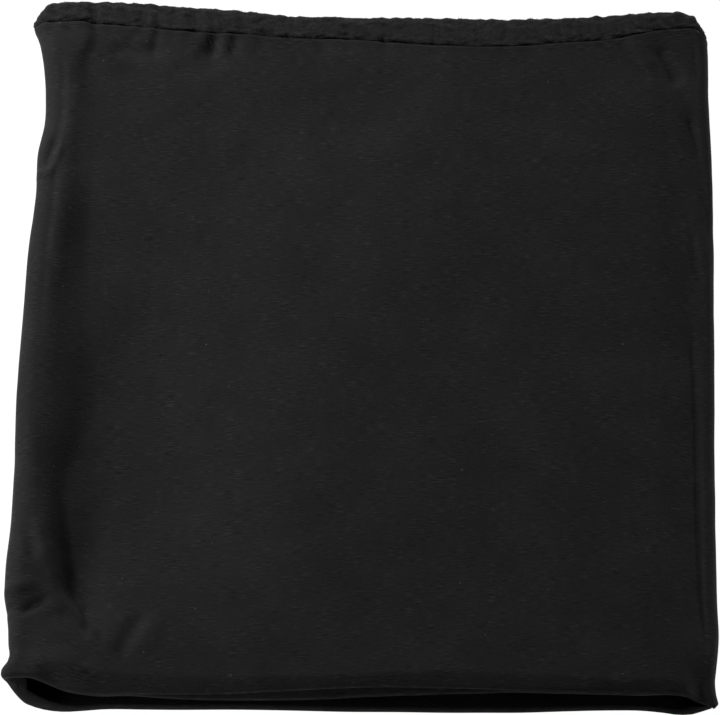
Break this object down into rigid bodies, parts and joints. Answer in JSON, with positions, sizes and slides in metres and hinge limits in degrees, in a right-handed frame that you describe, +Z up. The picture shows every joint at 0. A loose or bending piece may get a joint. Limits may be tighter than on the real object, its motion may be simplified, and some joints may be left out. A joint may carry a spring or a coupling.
{
  "type": "neck gaiter",
  "caption": "Flat-lying fleece-lined fabric neck tube with a smooth outer shell, a turned-out fleece rim, a turned-in hem and a sewn-in blank care label.",
  "frame": {"origin": "middle of the surface that the gaiter lies on, at the bottom centre of its bounding box", "axes": "+X across the flattened tube, +Y along the tube towards the fleece rim, +Z up through its thickness"},
  "size_m": [0.2516, 0.283, 0.0142],
  "materials": {
    "jersey": "matte",
    "fleece": "matte",
    "thread": "satin",
    "label_satin": "satin",
    "label_thread": "satin"
  },
  "bodies": {
    "gaiter": {"outer_shell": "jersey", "fleece_lining": "fleece", "rim_seam_needle_thread": "thread", "rim_seam_looper_thread": "thread", "hem_seam_needle_thread": "thread", "hem_seam_looper_thread": "thread", "shell_seam_needle_threads": "thread", "shell_seam_cover_thread": "thread", "lining_seam_needle_threads": "thread", "lining_seam_cover_thread": "thread"},
    "label": {"care_label": "label_satin", "label_stitches": "label_thread"}
  },
  "joints": [
    {"name": "care_label_flip", "type": "hinge", "parent": "gaiter", "child": "label", "pos_m": [-0.1111, 0.08, 0.00395], "axis": [0, -1, 0], "range_deg": [0, 8]}
  ]
}
